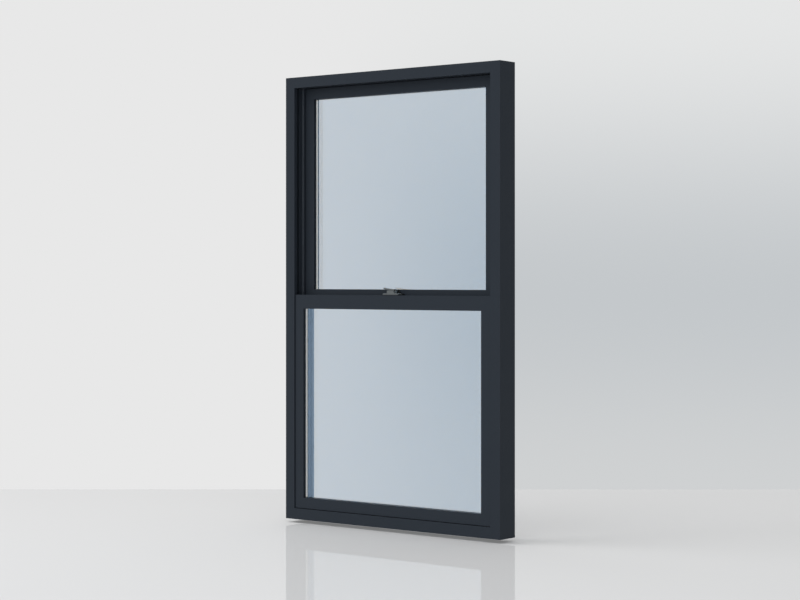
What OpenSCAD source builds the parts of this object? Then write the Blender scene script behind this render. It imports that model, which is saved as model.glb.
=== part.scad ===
// Double-hung sash window: two glazed sashes that slide past each other in a stepped frame.
// Millimetres. The origin is the middle of the frame's underside, and +Y points outdoors.

/* [Frame] */
// Overall width across both jambs
frame_w = 900; // [700:10:1200]
// Overall height from the sill's underside to the head's top
frame_h = 1500; // [1460:10:1800]
// Face width of a jamb, seen from the room
jamb_face = 38.5; // [37:0.5:48]
// Face height of the head
head_face = 36; // [32:0.5:48]
// Face height of the sill
sill_face = 37; // [34:0.5:48]
// Step inward of the jamb from the lower track to the upper one
track_step = 11.5; // [10:0.5:16]
// Cover of the outdoor lip over the upper sash's edges
lip_cover = 12; // [9:0.5:16]
// Drop of the sill behind the lower sash
sill_step = 7; // [4:0.5:10]
// Fall of the sill's outer slope
sill_fall = 8; // [4:0.5:10]
// Length of a weep slot in the sill's outer face
weep_l = 25; // [16:1:40]
// Height of a weep slot
weep_h = 5; // [4:0.5:6]
// Wall thickness of every extrusion
wall = 2; // [1.8:0.1:2.3]

/* [Sashes] */
// Face width of the stiles and of the two outer rails
sash_face = 36; // [35:0.5:46]
// Face height of the two meeting rails
meeting_face = 47; // [44:0.5:56]
// Height of the lower sash's top edge above the frame's underside
meeting_top = 762; // [720:1:800]
// Overlap in height of the two meeting rails
meeting_overlap = 28; // [24:1:34]
// Width of the lip that stands in front of the glass
glazing_lip = 14; // [13:0.5:15]
// Thickness of that lip
lip_t = 11; // [9:0.5:14]
// Gap at each side between a sash and its track
side_gap = 2; // [1.5:0.1:3]
// Gap below the lower sash and above the upper one
end_gap = 2; // [1.5:0.1:3]
// Running gap behind each sash
back_gap = 1.5; // [1.2:0.1:2]
// Setback of the lower sash behind the frame's face
lower_setback = 3.5; // [2:0.5:6]
// Setback of the upper sash behind the frame's shoulder
upper_setback = 7.5; // [7:0.5:10]
// Thickness of the caps on the stiles' upper ends
cap_t = 1.5; // [1:0.1:2]
// Width of the pile strips and sash seals
seal_w = 5; // [4:0.5:6]
// Clearance between a seal and the face that it brushes
seal_gap = 0.3; // [0.2:0.1:0.5]

/* [Glazing] */
// Thickness of each glass pane
pane_t = 4; // [3:0.5:6]
// Width of the gas space between the panes
cavity = 9; // [6:0.5:12]
// Thickness of the glazing gaskets
gasket_t = 1; // [0.8:0.1:1.5]
// Thickness of the glazing beads
bead_t = 2; // [1.5:0.1:3]
// Depth of the clip leg behind a bead
bead_leg = 7; // [6:0.5:8]
// Clearance between the panes' edges and the sash
pane_gap = 4; // [3.5:0.5:5]
// Setback of the spacer bar from the panes' edges
spacer_in = 1; // [0.5:0.5:2]
// Width of the spacer bar
spacer_w = 8; // [6:0.5:8]
// Length of a setting block
block_l = 80; // [50:5:120]

/* [Balances] */
// Depth of the balance pocket behind each track
pocket = 24; // [23:0.5:26]
// Width of the slot along each pocket
slot_w = 8; // [7:0.5:10]
// Height of a balance shoe
shoe_h = 40; // [38:1:48]
// Height of a shoe's underside above the sash's lower edge
shoe_up = 3; // [2:0.5:6]
// Radius of the rolled balance spring
coil_r = 9.5; // [8.5:0.5:9.5]
// Radius of the hollow in the roll
coil_hole_r = 5.5; // [4:0.5:6.5]
// Width of the spring strip
strip_w = 13; // [10:0.5:16]
// Thickness of the spring strip
strip_t = 0.4; // [0.3:0.05:0.6]
// Thickness of the lift bar that joins a sash to its shoe
bar_t = 6; // [5:0.5:7]
// Thickness of the lift bar's leg inside the stile
bar_leg_t = 3; // [2.5:0.5:4]
// Width of that leg
bar_leg_w = 12; // [10:0.5:14]
// Height of that leg
bar_leg_h = 36; // [30:1:44]
// Height of an anchor block or travel stop
anchor_h = 32; // [30:1:32]
// Width of an anchor block or travel stop
anchor_w = 20; // [18:0.5:24]
// Thickness of an anchor block or travel stop
anchor_t = 11; // [9:0.5:13]
// Height of a top guide
guide_h = 18; // [14:1:22]
// Width of a top guide's head behind the slot
guide_w = 20; // [17:0.5:24]

/* [Lock] */
// Length of the lock's base along the rail
lock_l = 65; // [58:1:80]
// Width of the lock's base
lock_w = 23; // [21:0.5:25]
// Height of the lock's base
lock_base_h = 6.5; // [6:0.5:9]
// Thickness of the pad under the lock
lock_pad_t = 2.4; // [1.6:0.1:2.8]
// Slope of the base's ends, measured along the rail
lock_end_slope = 3.5; // [2:0.5:3.5]
// Length of the lock's tower at its foot
tower_l = 32; // [28:1:36]
// Height of the tower's top above the rail
tower_h = 16; // [14:0.5:20]
// Radius of the half-round cam
cam_r = 15; // [14:0.5:16]
// Thickness of the cam
cam_t = 3.4; // [3:0.1:3.6]
// Radius of the lever's spindle
spindle_r = 4; // [3.5:0.1:5]
// Reach of the lever from its spindle
lever_l = 40; // [32:1:48]
// Rise of the lever's tip above its hub
lever_rise = 5; // [2:0.5:8]
// Height of the keeper
keeper_h = 19; // [16:0.5:22]

/* [Fasteners] */
// Shank radius of the assembly screws
screw_r = 1.9; // [1.7:0.1:2.1]
// Head radius of the assembly screws
head_r = 3.5; // [3.2:0.1:3.8]
// Head height of the assembly screws
head_t = 2.4; // [2:0.1:2.6]
// Length of the assembly screws below the head
screw_l = 26; // [18:1:36]
// Radius of the holes that fix the head to a lintel
fixing_r = 3.25; // [2.75:0.25:4]
// Distance between the two fixing holes
fixing_pitch = 500; // [300:10:560]

/* [Hidden] */
$fn = 48;
coat = "#32373d";
glass_tint = "#c4d2da";
steel = "#b9bcbf";
spring_steel = "#8d9194";
bare_alloy = "#c9ccce";
nylon = "#e6e4dc";
black_rubber = "#1b1c1e";
pile_grey = "#3a3c3f";
lock_metal = "#676c6e";
keeper_black = "#191c1e";

// Overrun of a cut past the face that it opens
over = 1;
// Fit of a sliding piece in its pocket
slide_fit = 0.5;
// Clearance round the lock's turning pieces
turn_fit = 0.3;
// Clearance of a screw or plug in its own hole
plug_fit = 0.2;
// Clearance at each side of a lift bar in its slot
bar_fit = 1;

sash_t = lip_t + 2 * gasket_t + 2 * pane_t + cavity + bead_t;
shoulder_d = lower_setback + sash_t + back_gap;
lip_d = shoulder_d + upper_setback + sash_t + back_gap;
depth = lip_d + wall;
front_y = -depth / 2;
upper_u = jamb_face + track_step;
lip_u = upper_u + lip_cover;
head_z = frame_h - head_face;

// Values of the lower sash first, then of the upper sash
LOWER = 0;
UPPER = 1;
sash_u = [jamb_face + side_gap, upper_u + side_gap];
sash_d = [lower_setback, shoulder_d + upper_setback];
sash_z = [sill_face + end_gap, meeting_top - meeting_overlap];
sash_h = [meeting_top - sash_z[LOWER], head_z - end_gap - sash_z[UPPER]];
bottom_face = [sash_face, meeting_face];
top_face = [meeting_face, sash_face];
floor_u = [jamb_face - wall, upper_u - wall];
pocket_d = [[wall, shoulder_d], [shoulder_d + wall, lip_d]];

function mid_d(s) = sash_d[s] + sash_t / 2;
function sash_w(s) = frame_w - 2 * sash_u[s];
function tube(face) = face - glazing_lip;

stile_tube = tube(sash_face);
pane_s = lip_t + gasket_t;
back_pane_s = pane_s + pane_t + cavity;
bead_s = sash_t - bead_t;

// Screw ports: the head's and sill's lie beside the slots, the rails' near their front and back walls
port_r = 4;
port_web = 3;
port_bore_r = screw_r + plug_fit;
access_r = head_r + 2 * plug_fit;
plug_rim = 0.8;
drive_w = 0.9;
drive_t = 1.2;
front_port_d = (wall + mid_d(LOWER) - slot_w / 2) / 2;
back_port_d = (mid_d(UPPER) + slot_w / 2 + lip_d) / 2;
rail_port_s = wall + head_r + plug_fit;
sill_back_z = sill_face - sill_step;
sill_slope = sill_fall / (depth - shoulder_d);
sill_back_port_z = (sill_back_z - sill_slope * (back_port_d - shoulder_d)) / 2;
corner_ports = [
    [LOWER, front_port_d, head_z + head_face / 2],
    [UPPER, back_port_d, head_z + head_face / 2],
    [LOWER, front_port_d, sill_face / 2],
    [UPPER, back_port_d, sill_back_port_z],
];

// Balance pieces, with x measured from the inner face of the track's floor
shoe_back = pocket - (pocket - 2 * coil_r) / 2;
coil_x = coil_r - shoe_back;
coil_top = 4.5;
coil_z = shoe_h - coil_r - coil_top;
strip_fit = 0.1;
strip_x = -shoe_back - strip_fit - strip_t;
bar_w = slot_w - 2 * bar_fit;
bar_in = 15;
bar_z = 6;
strip_grip = anchor_h * 0.4;
anchor_screw_z = anchor_h * 0.7;
anchor_screw_l = anchor_t + wall + 4;
stop_gap = 3;
guide_room = 15;
guide_head_t = 7;
guide_z = [for (s = [LOWER, UPPER]) sash_z[s] + sash_h[s] - cap_t - guide_h];
shoe_z = [for (s = [LOWER, UPPER]) sash_z[s] + shoe_up];
lower_anchor_z = guide_z[LOWER] - guide_room - anchor_h;
upper_anchor_z = frame_h - stop_gap - anchor_h;
travel = lower_anchor_z - stop_gap - shoe_z[LOWER] - shoe_h;
stop_z = shoe_z[UPPER] - travel - stop_gap - anchor_h;
anchors = [[LOWER, lower_anchor_z], [UPPER, upper_anchor_z], [UPPER, stop_z]];

// Hole in the head's underside that lets a fixing screw and its driver through
fixing_access_r = 2 * fixing_r;

// Lock, with z measured from the top of the lower sash
pivot_back = 6;
pivot_y = front_y + mid_d(LOWER) + pivot_back;
cam_z = 0.4;
cam_top = cam_z + cam_t;
cam_room = cam_top + cam_z;
cam_hub_r = spindle_r + 2;
spindle_end_r = spindle_r - 1;
lever_hub_r = 9.5;
lever_hub_t = 4.2;
lever_tip_r = 4.5;
lever_z = tower_h + turn_fit;
lock_corner_r = 4;
lock_end_h = lock_pad_t + 1.5;
lock_screw_x = lock_l / 2 - 7;
lock_screw_l = lock_base_h + wall + 4;
tower_top_l = tower_l - 6;
tower_w = lock_w - 2;
ledge_y = front_y + shoulder_d;
mouth_w = 26;
mouth_d = pivot_y + cam_r + 1.5 - ledge_y;
mouth_h = cam_top + 1.2;
keeper_base_h = 6;
keeper_tower_l = 36;
keeper_top_l = 22;
keeper_screw_l = keeper_base_h + wall + 4;
small_r = 1.7;
small_head_r = 3;

// Placing

module both_sides() {
    children();
    mirror([1, 0, 0]) children();
}

// Origin at the jamb's outer front edge on the left
module at_jamb() {
    translate([-frame_w / 2, front_y, 0]) children();
}

// Origin at the sash's lower, outer, front corner on the left
module at_sash(s) {
    translate([-frame_w / 2 + sash_u[s], front_y + sash_d[s], sash_z[s]]) children();
}

// Origin on the inner face of the left track's floor, at the middle of its slot
module at_pocket(s, z) {
    translate([-frame_w / 2 + floor_u[s], front_y + mid_d(s), z]) children();
}

// Origin on the top of the lower sash, at the lock's spindle
module at_lock() {
    translate([0, pivot_y, meeting_top]) children();
}

// Sweeps a section of depth and height along X
module along_x(length) {
    rotate([90, 0, 90]) linear_extrude(length) children();
}

// Turns a section of width and depth, as the stiles have it, into one of depth and height
module as_rail() {
    mirror([1, -1, 0]) children();
}

// Cross that the driver fits, sunk in the face of a screw's head at z = 0
module cross_recess(length) {
    for (turn = [0, 90]) rotate(turn) cube([length, drive_w, 2 * drive_t], center = true);
}

// Pan-headed screw that points up, with its head below z = 0
module pan_screw(length) {
    difference() {
        union() {
            cylinder(r = screw_r, h = length);
            translate([0, 0, -head_t]) cylinder(r = head_r, h = head_t);
        }
        translate([0, 0, -head_t]) cross_recess(head_r);
    }
}

// Flat-headed screw that points down, with its head's face at z = 0
module flat_screw(r, top_r, length) {
    difference() {
        union() {
            translate([0, 0, -length]) cylinder(r = r, h = length);
            translate([0, 0, -(top_r - r)]) cylinder(r1 = r, r2 = top_r, h = top_r - r);
        }
        cross_recess(top_r);
    }
}

module flat_screw_hole(r, top_r, length) {
    translate([0, 0, -length - over]) cylinder(r = r, h = length + over);
    translate([0, 0, -(top_r - r)]) cylinder(r1 = r, r2 = top_r, h = top_r - r);
    cylinder(r = top_r, h = over);
}

// Frame

module jamb_outline() {
    polygon([
        [0, 0], [jamb_face, 0], [jamb_face, shoulder_d], [upper_u, shoulder_d],
        [upper_u, lip_d], [lip_u, lip_d], [lip_u, depth], [0, depth],
    ]);
}

// The pocket of one track, its slot, and the closed chamber behind it
module track_chambers(s) {
    d0 = pocket_d[s][0];
    span = pocket_d[s][1] - d0;
    translate([floor_u[s] - pocket, d0]) square([pocket, span]);
    translate([floor_u[s] - over, mid_d(s) - slot_w / 2]) square([wall + 2 * over, slot_w]);
    translate([wall, d0]) square([floor_u[s] - pocket - 2 * wall, span]);
}

module jamb() {
    at_jamb() difference() {
        linear_extrude(frame_h) difference() {
            jamb_outline();
            track_chambers(LOWER);
            track_chambers(UPPER);
        }
        for (p = corner_ports) translate([-over, p[1], p[2]]) rotate([0, 90, 0]) {
            cylinder(r = access_r, h = floor_u[p[0]] - pocket / 2);
            cylinder(r = port_bore_r, h = floor_u[p[0]] + wall + 2 * over);
        }
        for (a = anchors) {
            translate([floor_u[a[0]] - pocket - wall - over, mid_d(a[0]), a[1] + anchor_screw_z])
                rotate([0, 90, 0]) cylinder(r = port_bore_r, h = wall + 2 * over);
        }
    }
}

// Screw port on a web that stands on the wall at root
module port(d, z, root) {
    difference() {
        union() {
            translate([d, z]) circle(r = port_r);
            translate([min(d, root), z - port_web / 2]) square([abs(d - root), port_web]);
        }
        translate([d, z]) circle(r = port_bore_r);
    }
}

// Cuts the ends of a member to the jambs' stepped outline
module between_jambs() {
    difference() {
        children();
        both_sides() at_jamb() translate([0, 0, -over]) linear_extrude(frame_h + 2 * over) jamb_outline();
    }
}

module head_section() {
    difference() {
        union() {
            square([depth, head_face]);
            translate([lip_d, -lip_cover]) square([wall, lip_cover + wall]);
        }
        translate([wall, wall]) square([shoulder_d - wall, head_face - 2 * wall]);
        translate([shoulder_d + wall, wall]) square([lip_d - shoulder_d - wall, head_face - 2 * wall]);
    }
    port(front_port_d, head_face / 2, wall / 2);
    port(back_port_d, head_face / 2, depth - wall / 2);
}

module sill_section() {
    outer_z = sill_back_z - sill_fall;
    difference() {
        polygon([
            [0, 0], [depth, 0], [depth, outer_z],
            [shoulder_d, sill_back_z], [shoulder_d, sill_face], [0, sill_face],
        ]);
        translate([wall, wall]) square([shoulder_d - 2 * wall, sill_face - 2 * wall]);
        polygon([
            [shoulder_d, wall], [lip_d, wall],
            [lip_d, outer_z + sill_slope * wall - wall], [shoulder_d, sill_back_z - wall],
        ]);
    }
    port(front_port_d, sill_face / 2, wall / 2);
    port(back_port_d, sill_back_port_z, depth - wall / 2);
}

module weep_slot() {
    rotate([-90, 0, 0]) linear_extrude(wall + 2 * over) {
        square([weep_l - weep_h, weep_h], center = true);
        for (end = [-1, 1]) translate([end * (weep_l - weep_h) / 2, 0]) circle(d = weep_h);
    }
}

member_l = frame_w - 2 * jamb_face + 2 * over;

module head() {
    color(coat) difference() {
        between_jambs() translate([-member_l / 2, front_y, head_z]) along_x(member_l) head_section();
        for (side = [-1, 1]) translate([side * fixing_pitch / 2, front_y + mid_d(LOWER), 0]) {
            translate([0, 0, head_z - over]) cylinder(r = fixing_access_r, h = wall + 2 * over);
            translate([0, 0, frame_h - wall - over]) cylinder(r = fixing_r, h = wall + 2 * over);
        }
    }
}

module sill() {
    color(coat) difference() {
        between_jambs() translate([-member_l / 2, front_y, 0]) along_x(member_l) sill_section();
        for (side = [-1, 1])
            translate([side * frame_w / 4, front_y + lip_d - over, wall + weep_h / 2]) weep_slot();
    }
}

module left_jamb() {
    color(coat) jamb();
}

module right_jamb() {
    color(coat) mirror([1, 0, 0]) jamb();
}

module frame_corner_screws() {
    color(steel) both_sides() at_jamb() for (p = corner_ports)
        translate([floor_u[p[0]], p[1], p[2]]) rotate([0, 90, 0]) pan_screw(screw_l);
}

// Plugs flush with the jambs' outer sides, each with a rim that snaps in behind the wall
module access_plugs() {
    color(coat) both_sides() at_jamb() for (p = corner_ports)
        translate([0, p[1], p[2]]) rotate([0, 90, 0]) {
            cylinder(r = access_r - plug_fit, h = wall);
            translate([0, 0, wall]) cylinder(r = access_r + plug_rim, h = plug_rim);
        }
}

module jamb_pile_strips() {
    strip = back_gap - seal_gap;
    faces = [[(sash_u[LOWER] + upper_u) / 2, shoulder_d], [(sash_u[UPPER] + lip_u) / 2, lip_d]];
    color(pile_grey) both_sides() at_jamb() for (f = faces)
        translate([f[0] - seal_w / 2, f[1] - strip, sill_face]) cube([seal_w, strip, head_z - sill_face]);
}

// Balances

module spring_strip(s, top_z) {
    start = shoe_z[s] + coil_z;
    both_sides() at_pocket(s, start) translate([strip_x, -strip_w / 2, 0])
        cube([strip_t, strip_w, top_z + strip_grip - start]);
}

module lower_spring_strips() {
    color(spring_steel) spring_strip(LOWER, lower_anchor_z);
}

module upper_spring_strips() {
    color(spring_steel) spring_strip(UPPER, upper_anchor_z);
}

module anchor_block(s, z) {
    at_pocket(s, z) difference() {
        translate([-pocket, -anchor_w / 2, 0]) cube([anchor_t, anchor_w, anchor_h]);
        translate([-pocket - over, 0, anchor_screw_z]) rotate([0, 90, 0])
            cylinder(r = port_bore_r, h = anchor_t + 2 * over);
        children();
    }
}

module spring_anchors() {
    slit_t = strip_t + 2 * strip_fit;
    slit_w = strip_w + 2 * plug_fit;
    color(nylon) both_sides() for (a = [anchors[0], anchors[1]]) anchor_block(a[0], a[1])
        translate([strip_x - strip_fit, -slit_w / 2, -over]) cube([slit_t, slit_w, strip_grip + over]);
}

module travel_stops() {
    color(nylon) both_sides() anchor_block(anchors[2][0], anchors[2][1]);
}

module anchor_screws() {
    color(steel) both_sides() for (a = anchors) at_pocket(a[0], a[1])
        translate([anchor_t - pocket, 0, anchor_screw_z]) rotate([0, -90, 0]) pan_screw(anchor_screw_l);
}

// Nylon block that holds the rolled spring and the lift bar's end
module shoe(s) {
    half = (shoulder_d - wall) / 2 - slide_fit;
    room = coil_r + turn_fit;
    room_w = strip_w + 2 * turn_fit;
    at_pocket(s, shoe_z[s]) difference() {
        translate([-shoe_back, -half, 0]) cube([shoe_back - slide_fit, 2 * half, shoe_h]);
        translate([coil_x, 0, coil_z]) rotate([90, 0, 0]) cylinder(r = room, h = room_w, center = true);
        translate([-shoe_back - over, -room_w / 2, coil_z])
            cube([coil_x + shoe_back + over, room_w, shoe_h - coil_z + over]);
        translate([-bar_in, -bar_w / 2, bar_z]) cube([bar_in + over, bar_w, bar_t]);
    }
}

module spring_coil(s) {
    at_pocket(s, shoe_z[s] + coil_z) translate([coil_x, 0, 0]) rotate([90, 0, 0]) difference() {
        cylinder(r = coil_r, h = strip_w, center = true);
        cylinder(r = coil_hole_r, h = strip_w + 2 * over, center = true);
    }
}

bar_screw_z = bar_leg_h - 2 * head_r;
bar_screw_l = wall + bar_leg_t + 2;

// Steel angle: its arm lies in the shoe, its leg stands inside the stile's outer wall
module lift_bar(s) {
    leg_x = wall + side_gap + wall;
    at_pocket(s, shoe_z[s] + bar_z) difference() {
        union() {
            translate([-bar_in, -bar_w / 2, 0]) cube([bar_in + leg_x + bar_leg_t, bar_w, bar_t]);
            translate([leg_x, -bar_leg_w / 2, 0]) cube([bar_leg_t, bar_leg_w, bar_leg_h]);
        }
        translate([leg_x - over, 0, bar_screw_z]) rotate([0, 90, 0])
            cylinder(r = port_bore_r, h = bar_leg_t + 2 * over);
    }
}

module bar_screw(s) {
    at_pocket(s, shoe_z[s] + bar_z) translate([wall + side_gap, 0, bar_screw_z])
        rotate([0, -90, 0]) flat_screw(screw_r, head_r, bar_screw_l);
}

// Nylon cap and guide: its head runs behind the slot, its plug fills the stile's end
module top_guide(s) {
    neck_w = slot_w - 2 * slide_fit;
    plug_l = stile_tube - 2 * wall - head_t - 2 * plug_fit;
    stile_x = wall + side_gap;
    at_pocket(s, guide_z[s]) {
        translate([-slide_fit - guide_head_t, -guide_w / 2, 0]) cube([guide_head_t, guide_w, guide_h]);
        translate([-slide_fit, -neck_w / 2, 0]) cube([slide_fit + stile_x + 2 * wall, neck_w, guide_h]);
        translate([stile_x + wall + plug_fit, wall + plug_fit - sash_t / 2, 0])
            cube([plug_l, sash_t - 2 * wall - 2 * plug_fit, guide_h]);
        translate([stile_x, -sash_t / 2, guide_h]) linear_extrude(cap_t) stile_outline();
    }
}

// Sashes

module stile_outline() {
    square([sash_face, lip_t]);
    square([stile_tube, sash_t]);
}

// Hollow section with a glazing lip: x is the width from the outer edge, y the depth from the room face
module sash_section(face) {
    groove = wall / 2;
    difference() {
        union() {
            square([face, lip_t]);
            square([tube(face), sash_t]);
        }
        translate([wall, wall]) square([tube(face) - 2 * wall, sash_t - 2 * wall]);
        translate([tube(face), wall]) square([glazing_lip - wall, lip_t - 2 * wall]);
        translate([tube(face) - groove, bead_s - bead_leg + groove]) square([groove + over, 2 * groove]);
    }
}

module rail_section(face) {
    as_rail() sash_section(face);
    port(rail_port_s, tube(face) / 2, wall / 2);
    port(sash_t - rail_port_s, tube(face) / 2, sash_t - wall / 2);
}

// Holes through a stile for the screws of one corner, z being the rail's middle
module stile_screw_holes(z) {
    for (y = [rail_port_s, sash_t - rail_port_s]) translate([-over, y, z]) rotate([0, 90, 0]) {
        cylinder(r = access_r, h = wall + 2 * over);
        cylinder(r = port_bore_r, h = sash_face + 2 * over);
    }
}

function port_heights(s) = [tube(bottom_face[s]) / 2, sash_h[s] - tube(top_face[s]) / 2];

module stile(s) {
    notch_w = slot_w - 2 * slide_fit;
    bar_top = shoe_up + bar_z + bar_t;
    at_sash(s) difference() {
        linear_extrude(sash_h[s] - cap_t) sash_section(sash_face);
        for (z = port_heights(s)) stile_screw_holes(z);
        translate([-over, sash_t / 2 - bar_w / 2, -over])
            cube([wall + over + plug_fit, bar_w, bar_top + over]);
        translate([-over, sash_t / 2 - notch_w / 2, sash_h[s] - cap_t - guide_h])
            cube([wall + over + plug_fit, notch_w, guide_h + over]);
        translate([0, sash_t / 2, shoe_up + bar_z + bar_screw_z]) rotate([0, -90, 0])
            flat_screw_hole(screw_r + plug_fit, head_r + plug_fit, wall);
    }
}

// Rail between the stiles, coped round their glazing lips
module rail(s, face) {
    length = sash_w(s) - 2 * stile_tube;
    cope = glazing_lip + over;
    difference() {
        translate([stile_tube, 0, 0]) along_x(length) rail_section(face);
        for (x = [stile_tube - over, stile_tube + length - glazing_lip])
            translate([x, -over, -over]) cube([cope, lip_t + over, face + 2 * over]);
    }
}

module bottom_rail(s) {
    at_sash(s) rail(s, bottom_face[s]);
}

module top_rail(s) {
    at_sash(s) translate([0, 0, sash_h[s]]) mirror([0, 0, 1]) rail(s, top_face[s]);
}

module corner_screws(s) {
    both_sides() at_sash(s) for (z = port_heights(s), y = [rail_port_s, sash_t - rail_port_s])
        translate([stile_tube - wall, y, z]) rotate([0, 90, 0]) pan_screw(screw_l);
}

// Forward ledge of the upper sash's lower rail, open towards the rail
module ledge() {
    end = side_gap / 2;
    at_sash(UPPER) translate([end, -upper_setback, 0]) along_x(sash_w(UPPER) - 2 * end) difference() {
        square([upper_setback, meeting_overlap]);
        translate([wall, wall]) square([upper_setback, meeting_overlap - 2 * wall]);
    }
}

// Rectangle round the glass, a and b in from the stiles' and rails' tubes, y0 deep and t thick
module glazing_ring(s, a, b, y0, t) {
    at_sash(s) translate([0, y0 + t, 0]) rotate([90, 0, 0]) linear_extrude(t) difference() {
        glazing_rectangle(s, a);
        glazing_rectangle(s, b);
    }
}

module glazing_rectangle(s, inset) {
    low = tube(bottom_face[s]) + inset;
    high = sash_h[s] - tube(top_face[s]) - inset;
    translate([stile_tube + inset, low]) square([sash_w(s) - 2 * (stile_tube + inset), high - low]);
}

module pane(s, y0) {
    at_sash(s) translate([0, y0 + pane_t, 0]) rotate([90, 0, 0])
        linear_extrude(pane_t) glazing_rectangle(s, pane_gap);
}

module spacer(s) {
    inset = pane_gap + spacer_in;
    glazing_ring(s, inset, inset + spacer_w, pane_s + pane_t, cavity);
}

module gasket(s, y0) {
    glazing_ring(s, pane_gap, glazing_lip - gasket_t / 2, y0, gasket_t);
}

// Bead with a barbed clip leg: x is measured in from the tube, y from the room face
module bead_section() {
    leg_t = wall * 0.85;
    groove = wall / 2;
    barb = groove - plug_fit;
    leg_s = bead_s - bead_leg;
    polygon([
        [0, sash_t], [glazing_lip, sash_t], [glazing_lip, bead_s],
        [leg_t, bead_s], [leg_t, leg_s], [0, leg_s],
        [0, leg_s + groove + plug_fit], [-barb, leg_s + 1.5 * groove],
        [-barb, leg_s + 2 * groove], [0, leg_s + 3 * groove - plug_fit],
    ]);
}

module cross_beads(s) {
    length = sash_w(s) - 2 * stile_tube;
    at_sash(s) {
        translate([stile_tube, 0, tube(bottom_face[s])]) along_x(length) as_rail() bead_section();
        translate([stile_tube, 0, sash_h[s] - tube(top_face[s])]) mirror([0, 0, 1])
            along_x(length) as_rail() bead_section();
    }
}

module side_beads(s) {
    low = tube(bottom_face[s]) + glazing_lip;
    high = sash_h[s] - tube(top_face[s]) - glazing_lip;
    both_sides() at_sash(s) translate([stile_tube, 0, low]) linear_extrude(high - low) bead_section();
}

// Blocks that carry the panes, stepped over the beads' legs, at the quarter points of the lower rail
module setting_blocks(s) {
    leg_s = bead_s - bead_leg - plug_fit;
    both_sides() at_sash(s) translate([sash_w(s) / 4 - block_l / 2, 0, tube(bottom_face[s])]) along_x(block_l)
        polygon([
            [pane_s, 0], [leg_s, 0], [leg_s, wall], [bead_s - gasket_t, wall],
            [bead_s - gasket_t, pane_gap], [pane_s, pane_gap],
        ]);
}

// Two-bulbed strip under or over a rail, standing room less the seal gap
module rail_seal(length, room) {
    bulb_r = (room - seal_gap) / 2;
    translate([-length / 2, -seal_w / 2, 0]) along_x(length) {
        square([seal_w, bulb_r]);
        for (y = [bulb_r, seal_w - bulb_r]) translate([y, bulb_r]) circle(r = bulb_r);
    }
}

module lower_left_stile() {
    color(coat) stile(LOWER);
}

module lower_right_stile() {
    color(coat) mirror([1, 0, 0]) stile(LOWER);
}

module lower_top_rail() {
    color(coat) difference() {
        top_rail(LOWER);
        for (side = [-1, 1])
            translate([side * lock_screw_x, front_y + mid_d(LOWER), meeting_top - wall - over])
                cylinder(r = small_r + plug_fit, h = wall + 2 * over);
    }
}

module lower_bottom_rail() {
    color(coat) bottom_rail(LOWER);
}

module lower_corner_screws() {
    color(steel) corner_screws(LOWER);
}

module lower_inner_pane() {
    color(glass_tint) pane(LOWER, pane_s);
}

module lower_outer_pane() {
    color(glass_tint) pane(LOWER, back_pane_s);
}

module lower_spacer() {
    color(bare_alloy) spacer(LOWER);
}

module lower_setting_blocks() {
    color(nylon) setting_blocks(LOWER);
}

module lower_cross_beads() {
    color(coat) cross_beads(LOWER);
}

module lower_side_beads() {
    color(coat) side_beads(LOWER);
}

module lower_inner_gasket() {
    color(black_rubber) gasket(LOWER, lip_t);
}

module lower_outer_gasket() {
    color(black_rubber) gasket(LOWER, bead_s - gasket_t);
}

module sill_seal() {
    color(black_rubber) translate([0, front_y + mid_d(LOWER), sash_z[LOWER]]) mirror([0, 0, 1])
        rail_seal(sash_w(LOWER) - 2 * sash_face, end_gap);
}

module lower_shoes() {
    color(nylon) both_sides() shoe(LOWER);
}

module lower_spring_coils() {
    color(spring_steel) both_sides() spring_coil(LOWER);
}

module lower_lift_bars() {
    color(steel) both_sides() lift_bar(LOWER);
}

module lower_bar_screws() {
    color(steel) both_sides() bar_screw(LOWER);
}

module lower_top_guides() {
    color(black_rubber) both_sides() top_guide(LOWER);
}

module upper_left_stile() {
    color(coat) stile(UPPER);
}

module upper_right_stile() {
    color(coat) mirror([1, 0, 0]) stile(UPPER);
}

module upper_top_rail() {
    color(coat) top_rail(UPPER);
}

module upper_bottom_rail() {
    color(coat) difference() {
        union() {
            bottom_rail(UPPER);
            ledge();
        }
        for (side = [-1, 1])
            translate([side * lock_screw_x, ledge_y + upper_setback / 2, meeting_top - wall - over])
                cylinder(r = small_r + plug_fit, h = wall + 2 * over);
    }
}

module upper_corner_screws() {
    color(steel) corner_screws(UPPER);
}

module upper_inner_pane() {
    color(glass_tint) pane(UPPER, pane_s);
}

module upper_outer_pane() {
    color(glass_tint) pane(UPPER, back_pane_s);
}

module upper_spacer() {
    color(bare_alloy) spacer(UPPER);
}

module upper_setting_blocks() {
    color(nylon) setting_blocks(UPPER);
}

module upper_cross_beads() {
    color(coat) cross_beads(UPPER);
}

module upper_side_beads() {
    color(coat) side_beads(UPPER);
}

module upper_inner_gasket() {
    color(black_rubber) gasket(UPPER, lip_t);
}

module upper_outer_gasket() {
    color(black_rubber) gasket(UPPER, bead_s - gasket_t);
}

module head_seal() {
    color(black_rubber) translate([0, front_y + mid_d(UPPER), sash_z[UPPER] + sash_h[UPPER]])
        rail_seal(sash_w(UPPER) - 2 * sash_face, end_gap);
}

module meeting_pile_strip() {
    strip = back_gap - seal_gap;
    length = sash_w(UPPER) - 2 * side_gap;
    color(pile_grey) translate([-length / 2, ledge_y - strip, meeting_top - meeting_overlap / 2 - seal_w / 2])
        cube([length, strip, seal_w]);
}

module upper_shoes() {
    color(nylon) both_sides() shoe(UPPER);
}

module upper_spring_coils() {
    color(spring_steel) both_sides() spring_coil(UPPER);
}

module upper_lift_bars() {
    color(steel) both_sides() lift_bar(UPPER);
}

module upper_bar_screws() {
    color(steel) both_sides() bar_screw(UPPER);
}

module upper_top_guides() {
    color(black_rubber) both_sides() top_guide(UPPER);
}

// Lock

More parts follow.
